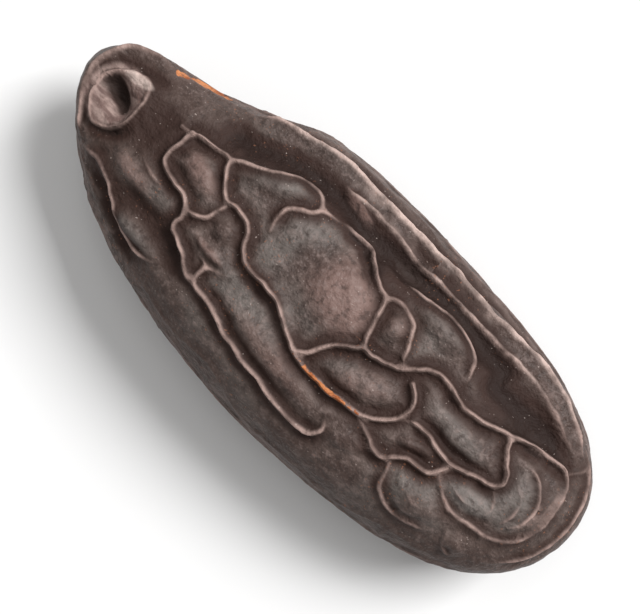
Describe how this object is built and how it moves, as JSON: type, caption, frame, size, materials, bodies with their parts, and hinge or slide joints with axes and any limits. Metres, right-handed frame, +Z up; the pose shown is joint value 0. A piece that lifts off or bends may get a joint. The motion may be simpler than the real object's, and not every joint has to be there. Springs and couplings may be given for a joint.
{
  "type": "tonka bean",
  "caption": "Dried tonka bean, one wrinkled black seed with a net of thin crests, a keel along one edge and a scar at its narrow end, resting on a small flat spot.",
  "frame": {"origin": "under the middle of the bean, on the surface that it rests on", "axes": "+X from the scar end to the blunt end, +Y towards the keel, +Z up"},
  "size_m": [0.0356, 0.0146, 0.0101],
  "materials": {
    "seed_coat": "satin near-black brown skin, paler on the crests"
  },
  "bodies": {
    "root": {"tonka_bean": "seed_coat"}
  },
  "joints": []
}
